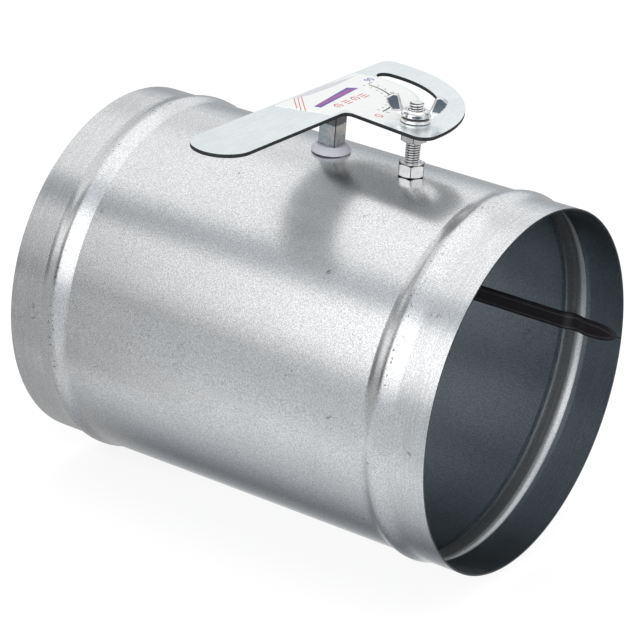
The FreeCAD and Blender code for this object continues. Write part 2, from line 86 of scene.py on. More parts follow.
def add_camera():
    """Stand the camera where the photo was taken from."""
    level = math.cos(CAMERA_ELEVATION)
    back = Vector((
        math.sin(CAMERA_AZIMUTH) * level,
        -math.cos(CAMERA_AZIMUTH) * level,
        math.sin(CAMERA_ELEVATION),
    ))
    flat_right = UP.cross(back).normalized()
    right = Matrix.Rotation(CAMERA_ROLL, 3, back) @ flat_right
    up = back.cross(right)
    place = Vector((SHAFT_X, 0, 0)) + back * CAMERA_DISTANCE
    place += right * CAMERA_SIDEWAYS + up * CAMERA_UPWARDS
    camera = bpy.data.objects.new("camera", bpy.data.cameras.new("camera"))
    bpy.context.scene.collection.objects.link(camera)
    turn = Matrix((right, up, back)).transposed().to_4x4()
    camera.matrix_world = Matrix.Translation(place) @ turn
    camera.data.lens = CAMERA_LENS
    bpy.context.scene.camera = camera


class Nodes:
    """Short calls that add and join the nodes of one material or world."""

    def __init__(self, owner):
        owner.use_nodes = True
        self.tree = owner.node_tree

    def add(self, kind, **settings):
        node = self.tree.nodes.new(kind)
        for name, value in settings.items():
            setattr(node, name, value)
        return node

    def put(self, socket, value):
        """Join an output to an input, or set the input."""
        if isinstance(value, bpy.types.NodeSocket):
            self.tree.links.new(value, socket)
        else:
            socket.default_value = value

    def math(self, operation, first, second=0.0, third=0.0):
        node = self.add("ShaderNodeMath", operation=operation)
        for socket, value in zip(node.inputs, (first, second, third)):
            self.put(socket, value)
        return node.outputs[0]

    def vector(self, operation, first, second):
        node = self.add("ShaderNodeVectorMath", operation=operation)
        self.put(node.inputs[0], first)
        self.put(node.inputs[1], second)
        return node.outputs["Value" if operation == "DOT_PRODUCT" else "Vector"]

    def split(self, vector):
        """The three parts of a vector."""
        node = self.add("ShaderNodeSeparateXYZ")
        self.put(node.inputs[0], vector)
        return node.outputs

    def facing(self):
        """The three parts of the direction that a face points in."""
        return self.split(self.add("ShaderNodeNewGeometry").outputs["True Normal"])

    def spread(self, value, low, high, to_low=0.0, to_high=1.0):
        """Map a range smoothly onto another, held at both ends."""
        node = self.add("ShaderNodeMapRange", interpolation_type="SMOOTHSTEP")
        for socket, number in zip(node.inputs, (value, low, high, to_low, to_high)):
            self.put(socket, number)
        return node.outputs[0]

    def even(self, noise, to_low=0.0, to_high=1.0):
        """Map the range where most of a noise lies onto another."""
        return self.spread(noise, 0.3, 0.7, to_low, to_high)

    def blend(self, factor, first, second, data_type="RGBA", **settings):
        """Blend two colours, or two vectors."""
        node = self.add("ShaderNodeMix", data_type=data_type, **settings)
        self.put(node.inputs["Factor"], factor)
        self.put(node.inputs["A"], first)
        self.put(node.inputs["B"], second)
        return node.outputs["Result"]

    def tinted(self, factor, colour, tint):
        """Multiply a colour by another one, as far as the factor says."""
        return self.blend(factor, colour, tint, blend_type="MULTIPLY")

    def noise(self, place, scale, detail=2.0, roughness=0.5):
        node = self.add("ShaderNodeTexNoise")
        self.put(node.inputs["Vector"], place)
        self.put(node.inputs["Scale"], scale)
        self.put(node.inputs["Detail"], detail)
        self.put(node.inputs["Roughness"], roughness)
        return node.outputs["Fac"]

    def stretch(self, place, x, y, z):
        """Scale the coordinates along each axis."""
        node = self.add("ShaderNodeMapping")
        self.put(node.inputs["Vector"], place)
        self.put(node.inputs["Scale"], (x, y, z))
        return node.outputs["Vector"]

    def bump(self, height, distance, normal=None):
        """The shading direction over a relief, on the surface's own direction or another."""
        node = self.add("ShaderNodeBump")
        self.put(node.inputs["Height"], height)
        self.put(node.inputs["Distance"], distance)
        if normal is not None:
            self.put(node.inputs["Normal"], normal)
        return node.outputs["Normal"]


def grey(level, tint=0.0):
    """A grey, or a bluish one for a tint above 0 and a warm one below."""
    return (level * (1 - tint), level, level * (1 + tint), 1)


def new_material(name, metallic=1.0):
    """A material with one shader, and its nodes."""
    material = bpy.data.materials.new(name)
    nodes = Nodes(material)
    shader = nodes.tree.nodes["Principled BSDF"]
    shader.inputs["Metallic"].default_value = metallic
    place = nodes.add("ShaderNodeTexCoord").outputs["Object"]
    return material, nodes, shader, place


# Marks on the sheet. Most of them fade between two distances: the rollers' lines and the cut
# edges from a rim, the pits and the groove from a bead's middle, the seam from level height.
ROLLED_FADE = (10 * MM, 20 * MM)
CUT_FADE = (0.2 * MM, 0.5 * MM)
PIT_FADE = (1.0 * MM, 2.2 * MM)
GROOVE_FADE = (3.5 * MM, 5 * MM)
SEAM_FADE = (0.15 * MM, 0.35 * MM)
SEAM_COLOUR = (0.07, 0.045, 0.035, 1)
# The inside wall is multiplied by this colour as painted shade.
INNER_PAINTED_SHADE = (0.76, 0.805, 0.835, 1)
# The tube's wall faces its axis or away from it: there a point's direction times its place off
# the axis goes past this length.
WALL_FACING = 20 * MM
# The groove's flank by the rim gets a painted highlight that grows from the first of these heights
# down to the second, and painted shade above. The other flank gets painted shade.
FLANK_HEIGHTS = (30 * MM, -15 * MM)
FLANK_PAINTED_SHADE, FLANK_PAINTED_HIGHLIGHT, OTHER_FLANK_PAINTED_SHADE = 0.45, 1.25, 0.55


class SheetPlaces:
    """Where a point of the sheet lies, and masks of the tube's wall and the beads' grooves."""

    def __init__(self, nodes, place):
        self.place = place
        along, self.across, self.height = nodes.split(place)
        from_outlet = nodes.math("ABSOLUTE", along)
        from_inlet = nodes.math("SUBTRACT", along, INLET_END)
        self.from_rim = nodes.math("MINIMUM", from_outlet, from_inlet)
        self.rimward = nodes.math("SUBTRACT", BEAD_FROM_END, self.from_rim)
        self.from_bead = nodes.math("ABSOLUTE", self.rimward)
        self.normal = nodes.add("ShaderNodeNewGeometry").outputs["Normal"]
        off_axis = nodes.vector("MULTIPLY", place, (0, 1, 1))
        outward = nodes.vector("DOT_PRODUCT", self.normal, off_axis)
        self.wall = nodes.math("GREATER_THAN", nodes.math("ABSOLUTE", outward), WALL_FACING)
        self.inner = nodes.math("LESS_THAN", outward, -WALL_FACING)
        self.off_groove = nodes.spread(self.from_bead, *GROOVE_FADE)
        groove = nodes.math("SUBTRACT", 1.0, self.off_groove)
        self.in_groove = nodes.math("MULTIPLY", self.inner, groove)


def grained(nodes, sheet, speckle, light, dark):
    """Speckled grain, faint clouds and fine lines round the tube, next to the rims."""
    colour = nodes.blend(nodes.even(speckle), dark, light)
    clouds = nodes.noise(sheet.place, 70, detail=3)
    colour = nodes.blend(nodes.spread(clouds, 0.35, 0.65, 0, 0.14), colour, dark)
    lines = nodes.noise(nodes.stretch(sheet.place, 2400, 60, 60), 1, detail=2)
    rolled = nodes.spread(sheet.from_rim, *ROLLED_FADE, 0.6, 0.0)
    rolled = nodes.math("MULTIPLY", nodes.spread(lines, 0.4, 0.65), rolled)
    return nodes.blend(rolled, colour, dark)


def scratched(nodes, sheet, colour):
    """Hair scratches: thin lines of one noise, kept only where another is high."""
    wave = nodes.math("SUBTRACT", nodes.noise(sheet.place, 230, detail=1), 0.5)
    thin = nodes.spread(nodes.math("ABSOLUTE", wave), 0.003, 0.010, 1, 0)
    where = nodes.spread(nodes.noise(sheet.place, 75, detail=0), 0.71, 0.75)
    scratch = nodes.math("MULTIPLY", thin, where)
    return nodes.blend(nodes.math("MULTIPLY", scratch, 0.75), colour, grey(0.2))


def bead_pits(nodes, sheet):
    """Mask of the pits where the rollers pressed the beads."""
    spots = nodes.spread(nodes.noise(sheet.place, 900, detail=1), 0.63, 0.69)
    patches = nodes.spread(nodes.noise(sheet.place, 60, detail=0), 0.46, 0.56)
    crest = nodes.spread(sheet.from_bead, *PIT_FADE, 1, 0)
    return nodes.math("MULTIPLY", nodes.math("MULTIPLY", spots, patches), crest)


def seam_line(nodes, sheet):
    """Mask of the line where the sheet's two edges meet, on the tube's wall alone."""
    line = nodes.spread(nodes.math("ABSOLUTE", sheet.height), *SEAM_FADE, 1, 0)
    line = nodes.math("MULTIPLY", line, nodes.math("GREATER_THAN", sheet.across, 0.0))
    return nodes.math("MULTIPLY", line, sheet.wall)


def cut_edges(nodes, sheet):
    """Mask of the rims' cut edges, which are bare."""
    edge = nodes.spread(nodes.math("ABSOLUTE", nodes.facing()[0]), 0.85, 0.95)
    return nodes.math("MULTIPLY", edge, nodes.spread(sheet.from_rim, *CUT_FADE, 1, 0))


def shaded_inside(nodes, sheet, colour):
    """Painted shade on the inside, which makes the zinc darker and bluer. In the bead's groove the
    flank by the rim gets a painted highlight below and painted shade above, and the other one painted
    shade."""
    plain = nodes.math("MULTIPLY", sheet.inner, sheet.off_groove)
    colour = nodes.tinted(plain, colour, INNER_PAINTED_SHADE)
    high, low = FLANK_HEIGHTS
    by_rim = nodes.spread(sheet.height, low, high, FLANK_PAINTED_HIGHLIGHT, FLANK_PAINTED_SHADE)
    flank = nodes.spread(sheet.rimward, -0.5 * MM, 0.5 * MM, OTHER_FLANK_PAINTED_SHADE, by_rim)
    return nodes.tinted(sheet.in_groove, colour, flank)


def burnished(nodes, sheet):
    """The shading direction, turned inside the beads, where the flank by the rim is burnished
    and catches the light."""
    turned = nodes.vector("MULTIPLY", sheet.normal, (-1, 1, 1))
    in_bead = nodes.math("LESS_THAN", sheet.off_groove, 0.9)
    inside_bead = nodes.math("MULTIPLY", sheet.inner, in_bead)
    return nodes.blend(inside_bead, sheet.normal, turned, data_type="VECTOR")


def galvanised(name, level, roughness):
    """Hot-dip sheet with the marks of its rolling, a thin dark seam, dark cut edges and painted light
    inside.
    """
    material, nodes, shader, place = new_material(name)
    sheet = SheetPlaces(nodes, place)
    speckle = nodes.noise(place, 1900, detail=1)
    grain = nodes.noise(place, 1300, detail=3, roughness=0.65)
    pits = bead_pits(nodes, sheet)
    seam = seam_line(nodes, sheet)
    edge = cut_edges(nodes, sheet)
    light, dark = grey(level * 1.19, 0.005), grey(level * 0.81, 0.02)
    colour = grained(nodes, sheet, speckle, light, dark)
    colour = scratched(nodes, sheet, colour)
    colour = nodes.blend(nodes.math("MULTIPLY", pits, 0.85), colour, grey(0.1))
    colour = nodes.blend(nodes.math("MULTIPLY", seam, 0.9), colour, SEAM_COLOUR)
    colour = shaded_inside(nodes, sheet, colour)
    colour = nodes.blend(edge, colour, grey(0.05, 0.1))
    nodes.put(shader.inputs["Base Color"], colour)
    rough = nodes.even(speckle, roughness * 1.04, roughness * 0.96)
    dull = nodes.math("MULTIPLY", nodes.math("MAXIMUM", edge, sheet.in_groove), 0.2)
    nodes.put(shader.inputs["Roughness"], nodes.math("ADD", rough, dull))
    relief = nodes.math("SUBTRACT", grain, nodes.math("MULTIPLY", pits, 0.6))
    relief = nodes.math("SUBTRACT", relief, seam)
    normal = nodes.bump(relief, 0.012 * MM, burnished(nodes, sheet))
    nodes.put(shader.inputs["Normal"], normal)
    return material


def plated(name, level, roughness, tint=0.0, metallic=1.0):
    """Zinc plate: a little mottled, with fine relief."""
    material, nodes, shader, place = new_material(name, metallic)
    mottle = nodes.noise(place, 500, detail=4, roughness=0.6)
    tone = nodes.even(mottle)
    light, dark = grey(level * 1.06, tint), grey(level * 0.88, tint)
    nodes.put(shader.inputs["Base Color"], nodes.blend(tone, dark, light))
    rough = nodes.even(mottle, roughness * 1.2, roughness * 0.8)
    nodes.put(shader.inputs["Roughness"], rough)
    nodes.put(shader.inputs["Normal"], nodes.bump(mottle, 0.01 * MM))
    return material


# The plate's flat faces lie between these two colours.
PLATE_DARK = (0.84, 0.885, 0.905, 1)
PLATE_LIGHT = (0.95, 0.985, 0.99, 1)


def plate_zinc():
    """Pale blue zinc on the flat faces, painted shade and a duller finish underneath, and black
    sheared edges.
    """
    material, nodes, shader, place = new_material("plate_zinc")
    rolled = nodes.noise(nodes.stretch(place, 900, 120, 900), 1, detail=3)
    patches = nodes.noise(place, 90, detail=3)
    speckle = nodes.noise(place, 1500, detail=1)
    tone = nodes.math("MULTIPLY", rolled, 0.4)
    for part in (patches, speckle):
        tone = nodes.math("MULTIPLY_ADD", part, 0.3, tone)
    upward = nodes.facing()[2]
    under = nodes.spread(upward, -0.8, -0.5, 1, 0)
    edge = nodes.spread(nodes.math("ABSOLUTE", upward), 0.5, 0.8, 1, 0)
    face = nodes.blend(nodes.spread(tone, 0.35, 0.65), PLATE_DARK, PLATE_LIGHT)
    # The underside is painted darker as shade.
    face = nodes.blend(under, face, grey(0.72, 0.02))
    sheared = nodes.blend(nodes.noise(place, 700, detail=2), grey(0.010), grey(0.045, 0.1))
    nodes.put(shader.inputs["Base Color"], nodes.blend(edge, face, sheared))
    dull_edge, dull_under = nodes.math("MULTIPLY", edge, 0.6), nodes.math("MULTIPLY", under, 0.3)
    dull = nodes.math("MAXIMUM", dull_edge, dull_under)
    nodes.put(shader.inputs["Metallic"], nodes.math("SUBTRACT", 1.0, dull))
    rough = nodes.even(tone, 0.34, 0.24)
    rough = nodes.math("ADD", rough, nodes.math("MULTIPLY", edge, 0.25))
    nodes.put(shader.inputs["Roughness"], rough)
    nodes.put(shader.inputs["Normal"], nodes.bump(tone, 0.008 * MM))
    return material


def matt(name, colour, roughness, scale=600, contrast=0.06):
    """Plastic, film, ink or rubber, with a fine grain."""
    material, nodes, shader, place = new_material(name, metallic=0.0)
    grain = nodes.noise(place, scale, detail=3)
    dark = tuple(part * (1 - contrast) for part in colour[:3]) + (1,)
    nodes.put(shader.inputs["Base Color"], nodes.blend(nodes.even(grain), dark, colour))
    rough = nodes.even(grain, roughness * 1.1, roughness * 0.9)
    nodes.put(shader.inputs["Roughness"], rough)
    nodes.put(shader.inputs["Normal"], nodes.bump(grain, 0.01 * MM))
    return material


# The shaft's blotches lie between these two colours.
SHAFT_BLUE = (0.46, 0.54, 0.57, 1)
SHAFT_YELLOW = (0.70, 0.67, 0.63, 1)
# Its corners darken between these distances from them, and a dark band reaches this far down from
# its top, with a foot that fades and wanders.
CORNER_FADE = (0.50 * MM, 0.26 * MM)
TOP_BAND_REACH = 8.6 * MM
TOP_BAND_FADE = 0.7 * MM
TOP_BAND_WANDER = 0.8 * MM


def shaft_zinc():
    """Drawn square bar: blotches from blue-green to yellow, faint upright lines, dark lines
    on its corners and a dark band at its top, under the plate."""
    material, nodes, shader, place = new_material("shaft_zinc")
    lines = nodes.noise(nodes.stretch(place, 1100, 1100, 130), 1, detail=3)
    blotches = nodes.noise(place, 420, detail=3)
    sideways = nodes.math("ABSOLUTE", nodes.facing()[0])
    warmth = nodes.math("MULTIPLY_ADD", sideways, 0.12, blotches)
    colour = nodes.blend(nodes.spread(warmth, 0.40, 0.68), SHAFT_BLUE, SHAFT_YELLOW)
    colour = nodes.blend(nodes.spread(lines, 0.45, 0.75, 0, 0.4), colour, grey(0.36, 0.02))
    along, across, height = nodes.split(place)
    wander = nodes.math("MULTIPLY", nodes.noise(place, 400, detail=2), TOP_BAND_WANDER)
    top_band_foot = SHAFT_HIGH.z - TOP_BAND_REACH
    band = nodes.math("ADD", height, wander)
    top_band = nodes.spread(band, top_band_foot, top_band_foot + TOP_BAND_FADE, 0, 0.85)
    colour = nodes.blend(top_band, colour, grey(0.10, 0.08))
    from_x = nodes.math("ABSOLUTE", nodes.math("SUBTRACT", along, SHAFT_X))
    nearest = nodes.math("MINIMUM", from_x, nodes.math("ABSOLUTE", across))
    side = (SHAFT_HIGH.x - SHAFT_LOW.x) / 2
    corner = nodes.spread(nearest, side - CORNER_FADE[0], side - CORNER_FADE[1])
    colour = nodes.blend(nodes.math("MULTIPLY", corner, 0.9), colour, grey(0.04, 0.1))
    nodes.put(shader.inputs["Base Color"], colour)
    nodes.put(shader.inputs["Roughness"], nodes.even(lines, 0.34, 0.26))
    nodes.put(shader.inputs["Normal"], nodes.bump(lines, 0.006 * MM))
    return material


def finish_node(name, material, bevel=0.0):
    """Give a CAD node its finish and, if asked, softened edges."""
    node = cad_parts[name]
    node.data.materials.clear()
    node.data.materials.append(material)
    if bevel:
        weld = node.modifiers.new("weld", "WELD")
        weld.merge_threshold = 0.001 * MM
        soft = node.modifiers.new("soft_edges", "BEVEL")
        soft.width = bevel
        soft.segments = 2
        soft.angle_limit = math.radians(35)
        soft.harden_normals = True


def new_piece(name, shape, material, body, second=None, second_faces=()):
    """Make a mesh piece, give it its finish and let it ride on a body. Some of its faces may
    have a second finish."""
    mesh = bpy.data.meshes.new(name)
    mesh.from_pydata(shape[0], [], shape[1])
    mesh.validate()
    mesh.materials.append(material)
    if second:
        mesh.materials.append(second)
        for index in second_faces:
            mesh.polygons[index].material_index = 1
    piece = bpy.data.objects.new(name, mesh)
    bpy.context.scene.collection.objects.link(piece)
    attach(piece, body)
    return piece


def smooth_gentle_edges(mesh, degrees=40):
    """Smooth shading over gentle edges and crisp shading over sharp ones."""
    shape = bmesh.new()
    shape.from_mesh(mesh)
    for face in shape.faces:
        face.smooth = True
    for edge in shape.edges:
        edge.smooth = edge.is_manifold and edge.calc_face_angle() < math.radians(degrees)
    shape.to_mesh(mesh)
    shape.free()


def capped_rings(rings):
    """Points and faces of a closed shell through rings of points, with a cap at each end."""
    columns = len(rings[0])
    faces = [tuple(reversed(range(columns)))]
    for row in range(len(rings) - 1):
        for column in range(columns):
            after = (column + 1) % columns
            low, high = row * columns, (row + 1) * columns
            faces.append((low + column, low + after, high + after, high + column))
    faces.append(tuple(range((len(rings) - 1) * columns, len(rings) * columns)))
    return [point for ring in rings for point in ring], faces


def circle(radius_at, height_at, columns):
    """A ring of points round Z whose radius and height follow its angle."""
    ring = []
    for column in range(columns):
        angle = 2 * math.pi * column / columns
        radius = radius_at(angle)
        ring.append((radius * math.cos(angle), radius * math.sin(angle), height_at(angle)))
    return ring


def joined(*shapes):
    """Put several closed shells in one list of points and faces."""
    vertices, faces = [], []
    for shape_vertices, shape_faces in shapes:
        first = len(vertices)
        vertices += shape_vertices
        faces += [tuple(index + first for index in face) for face in shape_faces]
    return vertices, faces


def placed(shape, matrix):
    """Turn and move a shape's points."""
    return [tuple(matrix @ Vector(vertex)) for vertex in shape[0]], shape[1]


# A hexagon's corners are turned off at a slope from a circle inside its flats.
TURNED_SHARE = 0.47
TURNED_SLOPE = math.tan(math.radians(30))


def hexagon_head(flats, height):
    """Hexagon head with turned-off corners at its foot, which leave an arc on each flat."""
    columns = 72
    turned = flats * TURNED_SHARE

    def reach(angle):
        within = (angle + math.pi / 6) % (math.pi / 3) - math.pi / 6
        return flats / 2 / math.cos(within)

    def chamfer(angle):
        return (reach(angle) - turned) * TURNED_SLOPE

    return capped_rings([
        circle(lambda angle: turned, lambda angle: 0.0, columns),
        circle(reach, chamfer, columns),
        circle(reach, lambda angle: height, columns),
    ])


# The thread's form: its depth is a share of the pitch, its root's flat and its flank are shares
# of the way from root to crest, and the bolt's end is turned off at a slope. Its root gets painted
# shade from a share of the pitch below its crest.
THREAD_DEPTH = 0.6
ROOT_FLAT, FLANK_RISE = 0.12, 0.62
END_SLOPE = 0.9
DARK_FROM = 0.33


def thread(radius, pitch, low, high):
    """Right-hand thread between two heights, chamfered at its upper end."""
    columns, rows_per_turn = 40, 14
    depth = THREAD_DEPTH * pitch
    rows = round((high - low) / pitch * rows_per_turn)
    rings = []
    for row in range(rows + 1):
        height = low + (high - low) * row / rows

        def reach(angle):
            phase = (height / pitch - angle / (2 * math.pi)) % 1.0
            ridge = 1 - abs(2 * phase - 1)
            crest = min(1.0, max(0.0, (ridge - ROOT_FLAT) / FLANK_RISE))
            end_limit = radius - depth + (high - height) * END_SLOPE
            return min(radius - depth * (1 - crest), end_limit)

        rings.append(circle(reach, lambda angle: height, columns))
    return capped_rings(rings)


def make_bolt(node, body, flats, head, radius, pitch, turn, material, root_shade_material):
    """Threaded bolt in the place of a CAD bolt, with painted shade in the thread's root. The turn
    brings +Z to the bolt's axis."""
    low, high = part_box(node)
    axis = turn @ UP
    length = (high - low).dot(Vector(map(abs, axis)))
    foot = (low + high) / 2 - axis * length / 2
    in_head = head * 0.9
    vertices, faces = joined(hexagon_head(flats, head), thread(radius, pitch, in_head, length))
    root_faces = []
    for index, face in enumerate(faces):
        away = sum(math.hypot(*vertices[corner][:2]) for corner in face) / len(face)
        if away < radius - DARK_FROM * pitch and len(face) == 4:
            root_faces.append(index)
    shape = placed((vertices, faces), Matrix.Translation(foot) @ turn.to_4x4())
    piece = new_piece(
        f"{node}_threaded", shape, material, body, root_shade_material, root_faces
    )
    smooth_gentle_edges(piece.data)
    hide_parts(node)


def hexagon_nut(flats, height, bore, corner):
    """Nut with its corners turned off at both ends, and the numbers of its narrow edge faces.
    The corner is the angle of one of its corners."""
    turned = flats * TURNED_SHARE
    edge_half = math.radians(1.8)
    steps = 9
    columns = []
    for side in range(6):
        middle = corner + math.pi / 6 + side * math.pi / 3
        half = math.pi / 6 - edge_half
        for step in range(steps):
            within = half * (2 * step / (steps - 1) - 1)
            reach = flats / 2 / math.cos(within)
            columns.append((middle + within, reach, (reach - turned) * TURNED_SLOPE))
    vertices, faces, edges = [], [], []
    for angle, reach, chamfer in columns:
        profile = (
            (bore, 0.0), (turned, 0.0), (reach, chamfer),
            (reach, height - chamfer), (turned, height), (bore, height),
        )
        for radius, z in profile:
            vertices.append((radius * math.cos(angle), radius * math.sin(angle), z))
    rows = len(profile)
    for column in range(len(columns)):
        here, after = column * rows, (column + 1) % len(columns) * rows
        at_corner = column % steps == steps - 1
        for index in range(rows):
            beside = (index + 1) % rows
            if index in (1, 3) or (index == 2 and at_corner):
                edges.append(len(faces))
            faces.append((here + index, after + index, after + beside, here + beside))
    return (vertices, faces), edges


def make_nut(node, body, bore, turn, material, edge_material):
    """Nut in the place of a CAD nut, with dark edges."""
    low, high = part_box(node)
    size = turn.inverted() @ (high - low)
    width, depth, height = map(abs, size)
    corner = 0.0 if width > depth else math.pi / 6
    foot = (low + high) / 2 - turn @ UP * height / 2
    shape, edges = hexagon_nut(min(width, depth), height, bore, corner)
    shape = placed(shape, Matrix.Translation(foot) @ turn.to_4x4())
    piece = new_piece(f"{node}_cut", shape, material, body, edge_material, edges)
    smooth_gentle_edges(piece.data)
    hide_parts(node)


# Each bolt's width across flats, head height, radius and pitch, and the bore of its nuts.
M6_BOLT = (10 * MM, 4 * MM, 3 * MM, 1 * MM)
M4_BOLT = (7 * MM, 2.8 * MM, 2 * MM, 0.7 * MM)
M6_BORE = 3.05 * MM
M4_BORE = 2.05 * MM


def make_bolts():
    """The stud and the two blade screws."""
    steel = plated("thread_zinc", 0.93, 0.13)
    # Dark zinc for the thread's root: painted shade.
    root = plated("thread_root_shade", 0.26, 0.35, tint=0.05)
    make_bolt("stud_bolt", "duct", *M6_BOLT, UPRIGHT, steel, root)
    for node in ("blade_screw_upper", "blade_screw_lower"):
        make_bolt(node, "blade_and_handle", *M4_BOLT, ALONG_DUCT, steel, root)


def make_nuts(bright):
    """The four nuts. The one against the plate and those inside the tube get a darker copy of the
    zinc as painted shade.
    """
    # A darker copy of the zinc: painted shade.
    shaded = plated("shaded_zinc", 0.65, 0.2)
    edge = plated("nut_edge", 0.13, 0.3)
    make_nut("stud_lock_nut", "duct", M6_BORE, UPRIGHT, bright, edge)
    make_nut("plate_support_nut", "duct", M6_BORE, UPRIGHT, shaded, edge)
    for node in ("blade_nut_upper", "blade_nut_lower"):
        make_nut(node, "blade_and_handle", M4_BORE, ALONG_DUCT, shaded, edge)


def lathe(profile, columns=72):
    """A ring turned round Z from a closed profile of (radius, height)."""
    count = len(profile)
    vertices, faces = [], []
    for column in range(columns):
        angle = 2 * math.pi * column / columns
        for radius, height in profile:
            vertices.append((radius * math.cos(angle), radius * math.sin(angle), height))
    for column in range(columns):
        here, after = column * count, (column + 1) % columns * count
        for index in range(count):
            beside = (index + 1) % count
            faces.append((here + index, after + index, after + beside, here + beside))
    return vertices, faces


def upright_prism(outline, half):
    """Prism over an outline of (radius, height), as thick as twice the half to both sides."""
    sides = [[(x, y, z) for x, z in outline] for y in (half, -half)]
    return capped_rings(sides)


def inside_distance(point, outline):
    """Distance from a point in a convex outline to its nearest side, below 0 outside."""
    nearest = math.inf
    for index, start in enumerate(outline):
        end = outline[(index + 1) % len(outline)]
        side = Vector((end[0] - start[0], end[1] - start[1]))
        away = Vector((point[0] - start[0], point[1] - start[1]))
        nearest = min(nearest, (side.x * away.y - side.y * away.x) / side.length)
    return nearest


# The sealing strip's section and ends. A thin line is sunk into it along its whole outline, and
# is painted lighter as a highlight from a share of its depth on.
STRIP_WIDTH = 7.6 * MM
STRIP_THICKNESS = 0.8 * MM
STRIP_LEAST_THICKNESS = 0.02 * MM
STRIP_GAP = 0.05 * MM
STRIP_TAPER = 13 * MM
STRIP_OVAL = 2.4
STRIP_EDGE = 1.1 * MM
LINE_FROM_EDGE = 1.5 * MM
LINE_HALF_WIDTH = 0.35 * MM
LINE_DEPTH = 0.22 * MM
LIGHTER_FROM = 0.2


def inner_radius(x):
    """Radius of the tube's inner wall behind the axis, found on the tube itself."""
    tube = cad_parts["tube_shell"]
    place = tube.ray_cast(Vector((x, 0, 2 * MM)), Vector((0, 1, 0)))[1]
    return place.yz.length


def strip_height(to_edge):
    """The strip's thickness at a distance from its edge, and how deep that lies in the line."""
    rise = min(1.0, to_edge / STRIP_EDGE)
    line = max(0.0, 1 - abs(to_edge - LINE_FROM_EDGE) / LINE_HALF_WIDTH)
    height = STRIP_THICKNESS * math.sqrt(1 - (1 - rise) ** 2) - LINE_DEPTH * line
    return max(STRIP_LEAST_THICKNESS, height), line


def make_strip():
    """Sealing strip along the seam: rounded edges, a sunk line inside its outline and long
    oval ends."""
    low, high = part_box("seam_sealing_strip")
    middle = (low.x + high.x) / 2
    half_length = (high.x - low.x) / 2
    stations, across = 300, 36
    rings, lined = [], []
    for station in range(stations + 1):
        # The steps grow short towards the ends, and the last ones stop just short of them.
        x = middle - half_length * 0.9995 * math.cos(math.pi * station / stations)
        to_end = half_length - abs(x - middle)
        full = max(0.0, 1 - to_end / STRIP_TAPER)
        half_width = STRIP_WIDTH / 2 * math.sqrt(max(0.0, 1 - full ** STRIP_OVAL))
        wall = inner_radius(x) - STRIP_GAP
        inner, outer = [], []
        for step in range(across + 1):
            share = 1 - 2 * step / across
            to_edge = min(half_width * (1 - abs(share)), to_end)
            height, line = strip_height(to_edge)
            if line > LIGHTER_FROM and 0 < step < across and station < stations:
                lined.append(1 + station * 2 * (across + 1) + step)
            angle = half_width * share / wall
            inner.append((x, (wall - height) * math.cos(angle), (wall - height) * math.sin(angle)))
            outer.append((x, wall * math.cos(angle), wall * math.sin(angle)))
        rings.append(inner + outer[::-1])
    rubber = matt("sealing_strip", (0.013, 0.010, 0.012, 1), 0.42, scale=900, contrast=0.3)
    # A lighter copy of the rubber: painted highlight in the sunk line.
    line_highlight = matt("sealing_strip_line", (0.045, 0.042, 0.050, 1), 0.4, scale=900, contrast=0.3)
    strip = new_piece(
        "seam_sealing_strip_moulded", capped_rings(rings), rubber, "duct", line_highlight, lined
    )
    smooth_gentle_edges(strip.data, 50)
    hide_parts("seam_sealing_strip")


# The wing nut's outlines in millimetres: radius from its axis and height above its foot.
HUB_PROFILE = [
    (3.2, 0.0), (4.7, 0.0), (5.8, 0.9), (5.8, 1.3), (5.5, 2.0), (5.0, 2.7), (4.4, 3.2),
    (3.8, 3.4), (3.2, 3.2),
]
WING_OUTLINE = [
    (3.6, 0.9), (6.4, 0.9), (8.8, 1.8), (10.3, 3.5), (11.5, 5.3), (12.0, 6.8), (11.5, 7.7),
    (10.2, 8.5), (8.8, 8.78), (7.5, 8.7), (6.7, 7.2), (5.8, 4.6), (5.1, 3.0), (3.6, 2.8),
]
WING_FACE = [(6.2, 2.9), (9.0, 2.5), (10.7, 4.5), (11.8, 6.7), (9.3, 8.6), (7.8, 8.4)]
WING_HALF_THICKNESS = 1.1
WING_VOXEL = 0.16
# The wings' faces are sunk this deep over a slope this wide, and dark inside a narrow margin.
FACE_DEPTH = 0.45
FACE_SLOPE = 0.25
FACE_MARGIN = 0.12
# A cast mark on the hub: its middle across and up, half its size both ways and its depth.
MARK_MIDDLE = (0.6, 1.45)
MARK_HALF = (2.3, 0.75)
MARK_DEPTH = 0.4
# The undercut lies below this height and outside this radius, painted black as shade.
UNDERCUT_HEIGHT = 0.85
UNDERCUT_RADIUS = 4.0
WING_TURN = math.radians(30)


def wing_nut_mesh(piece):
    """The piece's shell grown together and softened, as a mesh."""
    remesh = piece.modifiers.new("grown_together", "REMESH")
    remesh.mode = "VOXEL"
    remesh.voxel_size = WING_VOXEL
    soften = piece.modifiers.new("soften", "SMOOTH")
    soften.factor = 0.5
    soften.iterations = 2
    view = bpy.context.evaluated_depsgraph_get()
    mesh = bpy.data.meshes.new_from_object(piece.evaluated_get(view))
    piece.modifiers.clear()
    return mesh


def mark_share(place):
    """How deep a point of the hub lies in the cast mark, from 0 to 1."""
    if place.y > 0:
        return 0.0
    reach = math.hypot(
        (place.x - MARK_MIDDLE[0]) / MARK_HALF[0], (place.z - MARK_MIDDLE[1]) / MARK_HALF[1]
    )
    return min(1.0, max(0.0, (1 - reach) * 2))


def face_depth(place):
    """How far a point of the wing nut lies inside the outline of a wing's face."""
    return inside_distance((abs(place.x), place.z), WING_FACE)


